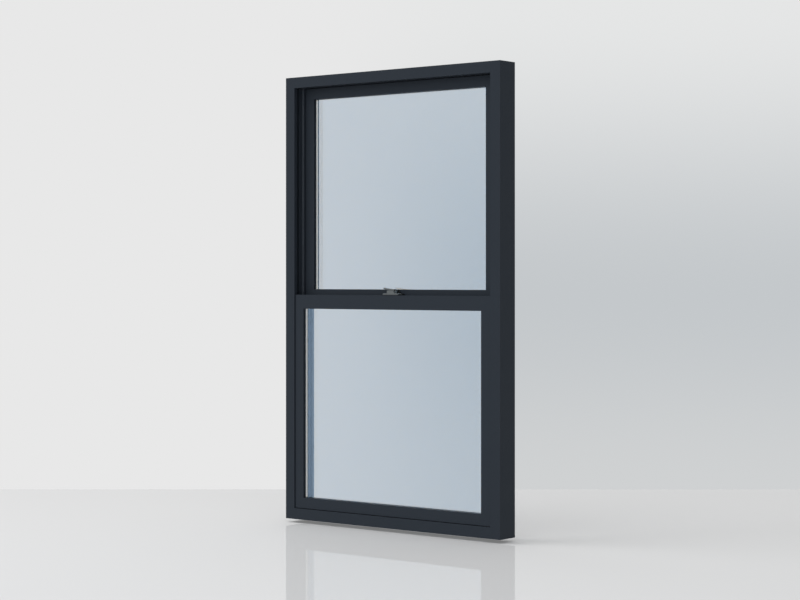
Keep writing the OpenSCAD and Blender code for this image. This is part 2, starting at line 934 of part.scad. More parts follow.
// Rectangle with round corners, centred
module rounded(length, width, r) {
    square([length - 2 * r, width], center = true);
    square([length, width - 2 * r], center = true);
    for (x = [-1, 1], y = [-1, 1]) translate([x * (length / 2 - r), y * (width / 2 - r)]) circle(r = r);
}

// Pad between the lock and the rail, cut out round the cam
module lock_pad() {
    color(black_rubber) at_lock() linear_extrude(lock_pad_t) difference() {
        translate([0, -pivot_back]) rounded(lock_l, lock_w, lock_corner_r);
        circle(r = cam_r + turn_fit);
        for (side = [-1, 1]) translate([side * lock_screw_x, -pivot_back]) circle(r = small_r + plug_fit);
    }
}

// Front outline of the base, with sloped ends, and of the tapered tower on it
module lock_outline() {
    slope_x = lock_l / 2 - lock_end_slope;
    polygon([
        [-lock_l / 2, lock_pad_t], [lock_l / 2, lock_pad_t], [lock_l / 2, lock_end_h], [slope_x, lock_base_h],
        [tower_l / 2, lock_base_h], [tower_top_l / 2, tower_h], [-tower_top_l / 2, tower_h],
        [-tower_l / 2, lock_base_h], [-slope_x, lock_base_h], [-lock_l / 2, lock_end_h],
    ]);
}

// Base with its tower over the cam, open at the back where the cam swings out
module lock_base() {
    color(lock_metal) at_lock() difference() {
        translate([0, -pivot_back, 0]) intersection() {
            union() {
                linear_extrude(lock_base_h) rounded(lock_l, lock_w, lock_corner_r);
                linear_extrude(tower_h) rounded(tower_l, tower_w, lock_corner_r);
            }
            translate([0, lock_w / 2, 0]) rotate([90, 0, 0]) linear_extrude(lock_w) lock_outline();
        }
        translate([0, 0, -over]) cylinder(r = cam_r + turn_fit, h = cam_room + over);
        translate([0, 0, -over]) cylinder(r = spindle_r + turn_fit, h = tower_h + 2 * over);
        for (side = [-1, 1]) translate([side * lock_screw_x, -pivot_back, lock_base_h])
            flat_screw_hole(small_r + plug_fit, small_head_r + plug_fit, lock_base_h);
    }
}

module lock_screws() {
    color(lock_metal) at_lock() for (side = [-1, 1])
        translate([side * lock_screw_x, -pivot_back, lock_base_h])
            flat_screw(small_r, small_head_r, lock_screw_l);
}

// Lever with its hub and spindle: the arm points left and rises to its tip
module lock_lever() {
    tip_z = lever_z + lever_rise;
    color(lock_metal) at_lock() {
        translate([0, 0, lever_z]) cylinder(r = lever_hub_r, h = lever_hub_t);
        translate([0, 0, cam_top]) cylinder(r = spindle_r, h = lever_z - cam_top);
        translate([0, 0, cam_z]) cylinder(r = spindle_end_r, h = cam_t);
        intersection() {
            translate([0, 0, lever_z]) linear_extrude(lever_rise + lever_hub_t) {
                polygon([
                    [0, -lever_hub_r], [0, lever_hub_r],
                    [lever_tip_r - lever_l, lever_tip_r], [lever_tip_r - lever_l, -lever_tip_r],
                ]);
                translate([lever_tip_r - lever_l, 0]) circle(r = lever_tip_r);
            }
            translate([0, lever_hub_r, 0]) rotate([90, 0, 0]) linear_extrude(2 * lever_hub_r) polygon([
                [0, lever_z], [-lever_hub_r, lever_z], [-lever_l, tip_z],
                [-lever_l, tip_z + lever_hub_t],
                [-lever_hub_r, lever_z + lever_hub_t], [0, lever_z + lever_hub_t],
            ]);
        }
    }
}

// Half-round cam, towards the room when the lock is open
module lock_cam() {
    color(lock_metal) at_lock() translate([0, 0, cam_z]) linear_extrude(cam_t) difference() {
        union() {
            circle(r = cam_hub_r);
            intersection() {
                circle(r = cam_r);
                translate([-cam_r, -cam_r]) square([2 * cam_r, cam_r]);
            }
        }
        circle(r = spindle_end_r + plug_fit / 4);
    }
}

// Keeper on the ledge, with a mouth for the cam
module keeper() {
    color(keeper_black) translate([0, ledge_y, meeting_top]) difference() {
        translate([0, upper_setback, 0]) rotate([90, 0, 0]) linear_extrude(upper_setback) polygon([
            [-lock_l / 2, 0], [lock_l / 2, 0], [lock_l / 2, keeper_base_h],
            [keeper_tower_l / 2, keeper_base_h], [keeper_top_l / 2, keeper_h],
            [-keeper_top_l / 2, keeper_h], [-keeper_tower_l / 2, keeper_base_h], [-lock_l / 2, keeper_base_h],
        ]);
        translate([-mouth_w / 2, -over, -over]) cube([mouth_w, mouth_d + over, mouth_h + over]);
        for (side = [-1, 1]) translate([side * lock_screw_x, upper_setback / 2, keeper_base_h])
            flat_screw_hole(small_r + plug_fit, small_head_r + plug_fit, keeper_base_h);
    }
}

module keeper_screws() {
    color(keeper_black) for (side = [-1, 1])
        translate([side * lock_screw_x, ledge_y + upper_setback / 2, meeting_top + keeper_base_h])
            flat_screw(small_r, small_head_r, keeper_screw_l);
}

head();
sill();
left_jamb();
right_jamb();
frame_corner_screws();
access_plugs();
jamb_pile_strips();
lower_spring_strips();
upper_spring_strips();
spring_anchors();
travel_stops();
anchor_screws();
lower_left_stile();
lower_right_stile();
lower_top_rail();
lower_bottom_rail();
lower_corner_screws();
lower_inner_pane();
lower_outer_pane();
lower_spacer();
lower_setting_blocks();
lower_cross_beads();
lower_side_beads();
lower_inner_gasket();
lower_outer_gasket();
sill_seal();
lower_shoes();
lower_spring_coils();
lower_lift_bars();
lower_bar_screws();
lower_top_guides();
lock_pad();
lock_base();
lock_screws();
lock_lever();
lock_cam();
upper_left_stile();
upper_right_stile();
upper_top_rail();
upper_bottom_rail();
upper_corner_screws();
upper_inner_pane();
upper_outer_pane();
upper_spacer();
upper_setting_blocks();
upper_cross_beads();
upper_side_beads();
upper_inner_gasket();
upper_outer_gasket();
head_seal();
meeting_pile_strip();
upper_shoes();
upper_spring_coils();
upper_lift_bars();
upper_bar_screws();
upper_top_guides();
keeper();
keeper_screws();
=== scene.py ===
"""Looks of a double-hung sash window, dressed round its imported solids.

The solids stay where the frame puts them. The operators below give them their finishes and rounded
edges, wind the balance springs, brush up the pile strips and set a pale studio round the window.
"""

import math
import random

import bmesh
import bpy
from bpy.props import FloatProperty, FloatVectorProperty, IntProperty, PointerProperty
from bpy.types import Operator, Panel, PropertyGroup
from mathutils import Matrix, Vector


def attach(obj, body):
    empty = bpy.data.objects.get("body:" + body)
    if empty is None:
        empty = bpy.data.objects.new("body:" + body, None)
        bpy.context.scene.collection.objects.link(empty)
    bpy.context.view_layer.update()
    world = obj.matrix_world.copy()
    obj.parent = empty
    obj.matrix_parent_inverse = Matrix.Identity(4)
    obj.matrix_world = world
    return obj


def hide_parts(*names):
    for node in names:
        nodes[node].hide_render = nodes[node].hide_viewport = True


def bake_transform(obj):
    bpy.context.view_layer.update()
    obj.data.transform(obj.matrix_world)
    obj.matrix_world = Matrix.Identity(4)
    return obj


bl_info = {
    "name": "Sash window",
    "version": (1, 0, 0),
    "blender": (4, 5, 0),
    "location": "3D View > Sidebar > Sash window",
    "description": "Finishes, springs, pile and studio of a double-hung sash window",
    "category": "Object",
}

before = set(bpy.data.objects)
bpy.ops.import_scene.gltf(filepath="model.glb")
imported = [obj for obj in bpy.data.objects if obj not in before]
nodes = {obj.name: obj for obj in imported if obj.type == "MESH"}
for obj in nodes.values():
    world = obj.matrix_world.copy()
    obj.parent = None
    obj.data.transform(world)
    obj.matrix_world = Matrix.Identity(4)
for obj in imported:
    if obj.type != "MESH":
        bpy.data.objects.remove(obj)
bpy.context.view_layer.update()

MM = 0.001

# Corners nearer than this are one corner.
TOUCH = MM / 1000
# Faces that turn by less than the first are one flat face. Edges of solids that turn by more than the
# second are rounded, and edges of new pieces that turn by more than the third are shaded sharp.
FLAT_TURN = math.radians(0.2)
ROUNDED_TURN = math.radians(40)
SHARP_TURN = math.radians(35)
EDGE_SEGMENTS = 2

# Share of a spring strip's thickness that each eased edge takes, and steps in a turn of a rolled spring.
STRIP_EASE = 0.25
COIL_STEPS = 48

# Corners of a tuft's foot, in shares of its pitch and of its row's width, and its depth in the back.
TUFT_FOOT = ((-0.42, -0.4), (0.42, -0.4), (0.0, 0.46))
TUFT_ROOT = 0.1 * MM
# Most that a tuft's tip leans, in those shares, and falls short, as a share of the strip's height.
TUFT_LEAN = 0.4
TUFT_SHORT = 0.18

IMAGE_WIDTH_PX = 800
SENSOR_MM = 36

# The backdrop is painted by direction. Sideways from straight ahead, the pale wall turns to shade between
# the first two, and brightens again between the next two, outside the picture.
SHADE_FROM, SHADE_TO = -0.058, 0.058
GLOW_FROM, GLOW_TO = 0.4, 0.8
# Upwards from level, the shaded wall runs between these, with its three tones at these shares of the way.
RISE_FROM, RISE_TO = -0.12, 0.14
FOOT_STOP, SHADE_STOP, TOP_STOP = 0.05, 0.42, 1.0

# Where each lamp hangs, what it points at, and its width and height, in metres.
SOFTBOX = {"place": (2.2, -4.4, 2.2), "target": (0, 0, 0.75), "size": (2.5, 2.0)}
OVERHEAD = {"place": (-2.7, -2.7, 4.2), "target": (-1.2, -0.9, 0), "size": (3.0, 3.0)}
BEHIND = {"place": (-2.6, 4.0, 1.4), "target": (0, 0, 0.9), "size": (2.5, 2.0)}

# Sockets of a Mix node set to colours, which share their names with the node's other sockets.
MIX_SHARE, MIX_FIRST, MIX_SECOND = 0, 6, 7
MIXED = 2


def linear(code):
    """Linear RGBA of an sRGB hex colour."""
    parts = [int(code[i:i + 2], 16) / 255 for i in (1, 3, 5)]
    return tuple(c / 12.92 if c <= 0.04045 else ((c + 0.055) / 1.055) ** 2.4 for c in parts) + (1.0,)


WHITE = linear("#ffffff")


def colour(name, description, code):
    """A colour property whose default is an sRGB hex value."""
    return FloatVectorProperty(
        name=name, description=description, subtype="COLOR", size=4, min=0, max=1, default=linear(code))


def length(name, description, millimetres):
    """A length property in metres whose default is given in millimetres."""
    return FloatProperty(
        name=name, description=description, unit="LENGTH", min=0, precision=5, default=millimetres * MM)


def share(name, description, default):
    """A property from 0 to 1."""
    return FloatProperty(
        name=name, description=description, subtype="FACTOR", min=0, max=1, default=default)


def power(name, description, watts):
    """A lamp's power."""
    return FloatProperty(name=name, description=description, unit="POWER", min=0, default=watts)


class CoatSettings(PropertyGroup):
    tone: colour("Coat", "Colour of the powder coat", "#2a2f36")
    speck: colour("Speck", "Colour of the lighter specks in the coat", "#31373e")
    peel: length("Peel", "Width of the ripples of the baked powder", 1.4)
    drift: length("Drift", "Width of the slow changes in the coat's gloss", 70)
    roughness: share("Roughness", "Roughness of the matt coat", 0.46)
    roughness_drift: share("Roughness drift", "Change of that roughness, up and down", 0.06)
    edge: length("Edge radius", "Radius of the coated edges", 0.5)


class GlazingSettings(PropertyGroup):
    glass: colour("Glass", "Tint of light that has passed one pane", "#e6ebf0")
    reflex: colour("Reflex", "Cool tint of the reflection from the panes' solar-control coating", "#badcff")
    index: FloatProperty(
        name="Index", description="Refractive index of the coated glass", min=1, max=3, default=2.35)
    wave: length("Wave", "Width of the slow waves in the panes", 300)
    spacer: colour("Spacer", "Mill-finish aluminium of the spacer bars", "#f6f7f8")
    hole_pitch: length("Hole pitch", "Distance between the breathing holes of a spacer bar", 4)
    mottle: length("Mottle", "Width of the rolled mottle on a spacer bar", 0.4)
    gasket: colour("Gasket", "Black rubber of the gaskets and seals", "#1f2226")
    gasket_grain: colour("Gasket grain", "Lighter tone in that rubber", "#282b2f")
    rubber_grain: length("Rubber grain", "Width of the fine grain of extruded rubber", 0.8)


class BalanceSettings(PropertyGroup):
    spring: colour("Spring steel", "Colour of the rolled spring strip", "#9da1a4")
    spring_line: colour("Spring line", "Darker tone of the lines on that strip", "#83878b")
    line_width: length("Line width", "Width of those lines", 0.5)
    line_length: length("Line length", "Length of those lines", 60)
    zinc: colour("Zinc", "Colour of the plated screws and lift bars", "#b9bdc0")
    zinc_cast: colour("Zinc cast", "Warm tone in that plating", "#b3ae9f")
    cloud: length("Cloud", "Width of the clouds in that plating", 6)
    nylon: colour("Nylon", "Natural nylon of the shoes, anchors and stops", "#dcd8cb")
    nylon_shade: colour("Nylon shade", "Darker tone in that nylon", "#cfcabb")
    dark_nylon: colour(
        "Dark nylon", "Nylon of the guides, caps and plugs, dyed to match the coat", "#2a2f36")
    dark_nylon_shade: colour("Dark nylon shade", "Lighter tone in that nylon", "#31373e")
    spark: length("Spark", "Width of the mould's spark texture on nylon", 0.7)
    turns: IntProperty(name="Turns", description="Turns of the rolled spring", min=3, max=20, default=8)
    gauge: length("Gauge", "Thickness of the rolled strip", 0.4)


class PileSettings(PropertyGroup):
    tone: colour("Pile", "Colour of the woven pile", "#4a5058")
    # The pile's darker tone is painted shade between its fibres.
    shade: colour("Pile shade", "Darker tone between its fibres", "#31363d")
    fibre: length("Fibre", "Width of the bundles of fibres", 0.9)
    tuft: length("Tuft", "Distance between the tufts along a strip", 1.5)
    rows: IntProperty(name="Rows", description="Rows of tufts across a strip", min=2, max=6, default=4)
    back: share("Back", "Share of a strip's height that its woven back takes", 0.35)


class LockSettings(PropertyGroup):
    zinc: colour("Lock", "Satin plating of the cast lock", "#74797b")
    zinc_grain: colour("Lock grain", "Darker tone in that plating", "#6c7072")
    black: colour("Keeper", "Black finish of the cast keeper", "#14171a")
    black_grain: colour("Keeper grain", "Lighter tone in that finish", "#1c2023")
    grain: length("Grain", "Width of the blasted grain on the castings", 0.6)
    edge: length("Edge radius", "Radius of the castings' edges", 0.7)


class StageSettings(PropertyGroup):
    camera: FloatVectorProperty(
        name="Camera", description="Place of the camera", subtype="TRANSLATION", unit="LENGTH",
        default=(4.062, -5.033, 0.820))
    turn: FloatProperty(
        name="Turn", description="Turn of the camera about the vertical", subtype="ANGLE",
        default=math.radians(38.79))
    focal_px: FloatProperty(
        name="Focal length", description="Focal length in image pixels", subtype="PIXEL", default=1970)
    shift: FloatProperty(name="Shift", description="Upward shift of the picture", default=-0.0279)
    floor: colour("Floor", "Pale polished floor", "#e2e2e2")
    floor_drop: length(
        "Floor drop", "Gap between the frame's underside and the floor, as packers leave it", 13)
    polish: share("Polish", "Share of light that the floor mirrors", 0.19)
    floor_back: length("Floor behind", "Depth of the floor behind the window", 1285)
    floor_size: length("Floor size", "Reach of the floor to the sides and front", 30000)
    wall: colour("Wall", "Pale wall to the left of the window", "#e8e8e8")
    wall_foot: colour("Wall foot", "Foot of the shaded wall to the right of the window", "#cfd1d2")
    wall_shade: colour("Wall shade", "Shaded wall, level with the window's middle", "#c4c8cb")
    wall_top: colour("Wall top", "Top of the shaded wall", "#e5e6e6")
    glow: colour("Glow", "Bright end of the wall at the far right, which the spacer bars mirror", "#eef1f4")
    fill: FloatProperty(name="Fill", description="Level of the studio's even light", min=0, default=0.41)
    lean: FloatVectorProperty(
        name="Lean", description="Way that the even light leans: left, to the room side and overhead",
        subtype="DIRECTION", default=(-1.1, -1.1, 1.3))
    box: colour("Softbox", "Cool light of the softbox at the front right", "#d9ecff")
    box_power: power("Softbox power", "Power of that softbox", 25)
    top_power: power("Top power", "Power of the light overhead", 65)
    back_power: power("Back power", "Power of the light behind the window", 60)


class WindowSettings(PropertyGroup):
    coat: PointerProperty(type=CoatSettings)
    glazing: PointerProperty(type=GlazingSettings)
    balance: PointerProperty(type=BalanceSettings)
    pile: PointerProperty(type=PileSettings)
    lock: PointerProperty(type=LockSettings)
    stage: PointerProperty(type=StageSettings)


def add(tree, kind, inputs=None, **settings):
    """Adds a node with its settings; an input takes a value or a link from another node's socket."""
    node = tree.nodes.new(kind)
    for name, value in settings.items():
        setattr(node, name, value)
    for name, value in (inputs or {}).items():
        if isinstance(value, bpy.types.NodeSocket):
            tree.links.new(value, node.inputs[name])
        else:
            node.inputs[name].default_value = value
    return node


def finish_named(name, **sockets):
    """A new material with its tree, its shader and the object's own coordinates."""
    material = bpy.data.materials.new(name)
    material.use_nodes = True
    tree = material.node_tree
    shader = tree.nodes["Principled BSDF"]
    for socket, value in sockets.items():
        shader.inputs[socket.replace("_", " ")].default_value = value
    place = add(tree, "ShaderNodeTexCoord").outputs["Object"]
    return material, tree, shader, place


def wire(tree, shader, tone=None, gloss=None, bump=None):
    """Links what a finish has of colour, roughness and relief to its shader."""
    for node, output, socket in (
            (tone, MIXED, "Base Color"), (gloss, "Result", "Roughness"), (bump, "Normal", "Normal")):
        if node is not None:
            tree.links.new(node.outputs[output], shader.inputs[socket])


def nodes_in(slot):
    """Names of the solids that the record gives that material slot, before they are dressed."""
    return [name for name, solid in nodes.items() if solid.data.materials[0].name.split(".")[0] == slot]


def dress(names, material):
    """Gives solids their finish."""
    for name in names:
        nodes[name].material_slots[0].material = material


def round_edges(names, radius):
    """Joins the solids' split edges, merges flat faces, rounds the sharp edges and evens the shading."""
    for name in names:
        weld = nodes[name].modifiers.new("Join", "WELD")
        weld.merge_threshold = TOUCH
        flat = nodes[name].modifiers.new("Flat", "DECIMATE")
        flat.decimate_type = "DISSOLVE"
        flat.angle_limit = FLAT_TURN
        bevel = nodes[name].modifiers.new("Edge", "BEVEL")
        bevel.width = radius
        bevel.segments = EDGE_SEGMENTS
        bevel.limit_method = "ANGLE"
        bevel.angle_limit = ROUNDED_TURN
        bevel.use_clamp_overlap = True
        bevel.face_strength_mode = "FSTR_ALL"
        even = nodes[name].modifiers.new("Even", "WEIGHTED_NORMAL")
        even.keep_sharp = False
        even.use_face_influence = True


def new_piece(name, mesh_work, material):
    """Turns worked geometry into an object of the scene, smooth but for its sharp edges."""
    mesh = bpy.data.meshes.new(name)
    mesh_work.to_mesh(mesh)
    mesh_work.free()
    mesh.shade_smooth()
    mesh.set_sharp_from_angle(angle=SHARP_TURN)
    mesh.materials.append(material)
    piece = bpy.data.objects.new(name, mesh)
    bpy.context.scene.collection.objects.link(piece)
    return piece


def solid_boxes(node):
    """Lowest and highest corner of each separate solid of a node, from left to right."""
    work = bmesh.new()
    work.from_mesh(nodes[node].data)
    bmesh.ops.remove_doubles(work, verts=work.verts, dist=TOUCH)
    waiting = set(work.verts)
    boxes = []
    while waiting:
        reached = [waiting.pop()]
        for vert in reached:
            for edge in vert.link_edges:
                other = edge.other_vert(vert)
                if other in waiting:
                    waiting.remove(other)
                    reached.append(other)
        low, high = (Vector([pick(v.co[i] for v in reached) for i in range(3)]) for pick in (min, max))
        boxes.append((low, high))
    work.free()
    return sorted(boxes, key=lambda box: tuple(box[0]))


def bridge(work, rings):
    """Closes a row of rings of corners into one solid."""
    for low, high in zip(rings, rings[1:]):
        for i, corner in enumerate(low):
            after = (i + 1) % len(low)
            work.faces.new((corner, low[after], high[after], high[i]))
    work.faces.new(rings[0][::-1])
    work.faces.new(rings[-1])


def powder_coat(coat):
    # Sprayed polyester powder, baked: a matt anthracite skin with a faint orange peel and fine specks.
    # The ripples are drawn about twice their real width, so that they show at all.
    material, tree, shader, place = finish_named("Powder coated aluminium", Specular_IOR_Level=0.06)
    speck = add(tree, "ShaderNodeTexNoise", {"Vector": place, "Scale": 1 / coat.peel, "Detail": 3.0})
    drift = add(tree, "ShaderNodeTexNoise", {"Vector": place, "Scale": 1 / coat.drift, "Detail": 2.0})
    tone = add(tree, "ShaderNodeMix", {
        MIX_SHARE: speck.outputs["Fac"], MIX_FIRST: coat.tone, MIX_SECOND: coat.speck}, data_type="RGBA")
    gloss = add(tree, "ShaderNodeMapRange", {
        "Value": drift.outputs["Fac"],
        "To Min": coat.roughness - coat.roughness_drift, "To Max": coat.roughness + coat.roughness_drift})
    bump = add(tree, "ShaderNodeBump", {
        "Height": speck.outputs["Fac"], "Strength": 0.12, "Distance": 0.1 * MM})
    wire(tree, shader, tone, gloss, bump)
    return material


def float_glass(glazing):
    # Drawn flat on molten tin, then given a solar-control coating: clear, with sharp, cool reflections.
    # The index is above plain glass's 1.52, because the coating makes each face mirror more.
    material, tree, shader, place = finish_named(
        "Coated float glass", Base_Color=glazing.glass, Roughness=0.0, IOR=glazing.index,
        Specular_Tint=glazing.reflex, Transmission_Weight=1.0)
    wave = add(tree, "ShaderNodeTexNoise", {"Vector": place, "Scale": 1 / glazing.wave, "Detail": 0.0})
    bump = add(tree, "ShaderNodeBump", {
        "Height": wave.outputs["Fac"], "Strength": 0.05, "Distance": 0.2 * MM})
    wire(tree, shader, bump=bump)
    return material


def mill_aluminium(glazing):
    # Roll-formed strip left as rolled: bright metal with a fine mottle, and rows of breathing holes drawn
    # as dents with painted shade.
    # The mottle is drawn about four times its real width, so that it shows at all.
    material, tree, shader, place = finish_named("Mill-finish aluminium", Metallic=1.0)
    holes = add(tree, "ShaderNodeTexVoronoi", {
        "Vector": place, "Scale": 1 / glazing.hole_pitch, "Randomness": 0.0})
    # Painted shade: the metal is darkened at each breathing hole, where shade falls into it, and the bump
    # dents it there.
    hole_shade_and_dent = add(tree, "ShaderNodeMapRange", {
        "Value": holes.outputs["Distance"], "From Min": 0.12, "From Max": 0.2,
        "To Min": 0.35, "To Max": 1.0})
    tone = add(tree, "ShaderNodeMix", {
        MIX_SHARE: 1.0, MIX_FIRST: glazing.spacer, MIX_SECOND: hole_shade_and_dent.outputs["Result"]},
        data_type="RGBA", blend_type="MULTIPLY")
    mottle = add(tree, "ShaderNodeTexNoise", {"Vector": place, "Scale": 1 / glazing.mottle, "Detail": 2.0})
    gloss = add(tree, "ShaderNodeMapRange", {"Value": mottle.outputs["Fac"], "To Min": 0.08, "To Max": 0.2})
    bump = add(tree, "ShaderNodeBump", {
        "Height": hole_shade_and_dent.outputs["Result"], "Strength": 0.3, "Distance": 0.2 * MM})
    wire(tree, shader, tone, gloss, bump)
    return material


def black_rubber(glazing):
    # Extruded EPDM: near-black and matt, with a fine grain from the die.
    # The grain is drawn a few times its real width, so that it shows at all.
    material, tree, shader, place = finish_named("Extruded EPDM rubber", Specular_IOR_Level=0.3)
    grain = add(tree, "ShaderNodeTexNoise", {
        "Vector": place, "Scale": 1 / glazing.rubber_grain, "Detail": 3.0})
    tone = add(tree, "ShaderNodeMix", {
        MIX_SHARE: grain.outputs["Fac"], MIX_FIRST: glazing.gasket, MIX_SECOND: glazing.gasket_grain},
        data_type="RGBA")
    gloss = add(tree, "ShaderNodeMapRange", {"Value": grain.outputs["Fac"], "To Min": 0.6, "To Max": 0.8})
    bump = add(tree, "ShaderNodeBump", {
        "Height": grain.outputs["Fac"], "Strength": 0.2, "Distance": 0.1 * MM})
    wire(tree, shader, tone, gloss, bump)
    return material


def rolled_spring_steel(balance):
    # Cold-rolled stainless strip: smooth grey metal with fine upright lines.
    # The lines are drawn some five times their real width, so that they show at all.
    material, tree, shader, place = finish_named("Cold-rolled spring steel", Metallic=1.0)
    stretch = (1 / balance.line_width, 1 / balance.line_width, 1 / balance.line_length)
    upright = add(tree, "ShaderNodeMapping", {"Vector": place, "Scale": stretch})
    lines = add(tree, "ShaderNodeTexNoise", {
        "Vector": upright.outputs["Vector"], "Scale": 1.0, "Detail": 2.0})
    tone = add(tree, "ShaderNodeMix", {
        MIX_SHARE: lines.outputs["Fac"], MIX_FIRST: balance.spring, MIX_SECOND: balance.spring_line},
        data_type="RGBA")
    gloss = add(tree, "ShaderNodeMapRange", {"Value": lines.outputs["Fac"], "To Min": 0.22, "To Max": 0.4})
    wire(tree, shader, tone, gloss)
    return material


def zinc_plate(balance):
    # Bright zinc plating on steel, passivated: pale metal, clouded from a cool to a slightly warm grey.
    material, tree, shader, place = finish_named("Zinc-plated steel", Metallic=1.0)
    cloud = add(tree, "ShaderNodeTexNoise", {"Vector": place, "Scale": 1 / balance.cloud, "Detail": 4.0})
    tone = add(tree, "ShaderNodeMix", {
        MIX_SHARE: cloud.outputs["Fac"], MIX_FIRST: balance.zinc, MIX_SECOND: balance.zinc_cast},
        data_type="RGBA")
    gloss = add(tree, "ShaderNodeMapRange", {"Value": cloud.outputs["Fac"], "To Min": 0.25, "To Max": 0.45})
    wire(tree, shader, tone, gloss)
    return material


def moulded_nylon(name, tint, shade, spark_size, gleam):
    # Injection-moulded nylon: a soft half-matt skin with a fine spark texture from the mould.
    # The texture is drawn a few times its real width, so that it shows at all.
    material, tree, shader, place = finish_named(name, IOR=1.53, Specular_IOR_Level=gleam)
    spark = add(tree, "ShaderNodeTexNoise", {"Vector": place, "Scale": 1 / spark_size, "Detail": 2.0})
    tone = add(tree, "ShaderNodeMix", {
        MIX_SHARE: spark.outputs["Fac"], MIX_FIRST: tint, MIX_SECOND: shade}, data_type="RGBA")
    gloss = add(tree, "ShaderNodeMapRange", {"Value": spark.outputs["Fac"], "To Min": 0.42, "To Max": 0.58})
    bump = add(tree, "ShaderNodeBump", {
        "Height": spark.outputs["Fac"], "Strength": 0.15, "Distance": 0.1 * MM})
    wire(tree, shader, tone, gloss, bump)
    return material


def woven_pile(pile):
    # Polypropylene pile: soft grey fibres whose tips catch the light.
    # They are drawn in bundles, because single fibres are too fine to show.
    material, tree, shader, place = finish_named(
        "Polypropylene pile", Roughness=0.9, Sheen_Weight=0.3, Specular_IOR_Level=0.2)
    fibre = add(tree, "ShaderNodeTexNoise", {"Vector": place, "Scale": 1 / pile.fibre, "Detail": 2.0})
    # The fibre noise mixes in painted shade, darker between the bundles of fibres.
    tone = add(tree, "ShaderNodeMix", {
        MIX_SHARE: fibre.outputs["Fac"], MIX_FIRST: pile.tone, MIX_SECOND: pile.shade}, data_type="RGBA")
    bump = add(tree, "ShaderNodeBump", {
        "Height": fibre.outputs["Fac"], "Strength": 0.4, "Distance": 0.2 * MM})
    wire(tree, shader, tone, bump=bump)
    return material


def zinc_casting(name, tint, shade, grain_size, metallic, smooth, dull):
    # Die-cast zinc, blasted, then plated satin or blackened: an even skin with a very fine grain.
    # The grain is drawn a few times its real width, so that it shows at all.
    material, tree, shader, place = finish_named(name, Metallic=metallic)
    grain = add(tree, "ShaderNodeTexNoise", {"Vector": place, "Scale": 1 / grain_size, "Detail": 3.0})
    tone = add(tree, "ShaderNodeMix", {
        MIX_SHARE: grain.outputs["Fac"], MIX_FIRST: tint, MIX_SECOND: shade}, data_type="RGBA")
    gloss = add(tree, "ShaderNodeMapRange", {
        "Value": grain.outputs["Fac"], "To Min": smooth, "To Max": dull})
    bump = add(tree, "ShaderNodeBump", {
        "Height": grain.outputs["Fac"], "Strength": 0.1, "Distance": 0.1 * MM})
    wire(tree, shader, tone, gloss, bump)
    return material


class WINDOW_OT_coat(Operator):
    """Coats the frame's and the sashes' extrusions and rounds their edges"""

    bl_idname = "sash_window.coat"
    bl_label = "Coat extrusions"

    def execute(self, context):
        coat = context.scene.sash_window.coat
        members = nodes_in("coated_aluminium")
        dress(members, powder_coat(coat))
        round_edges(members, coat.edge)
        return {"FINISHED"}


class WINDOW_OT_glaze(Operator):
    """Gives the panes, spacer bars, gaskets and rubber seals their finishes"""

    bl_idname = "sash_window.glaze"
    bl_label = "Glaze sashes"

    def execute(self, context):
        glazing = context.scene.sash_window.glazing
        panes = nodes_in("float_glass")
        dress(panes, float_glass(glazing))
        # Light isn't traced through glass to the floor, so clear panes would throw dark shadows.
        for name in panes:
            nodes[name].visible_shadow = False
        dress(nodes_in("bare_aluminium"), mill_aluminium(glazing))
        dress(nodes_in("black_rubber"), black_rubber(glazing))
        return {"FINISHED"}


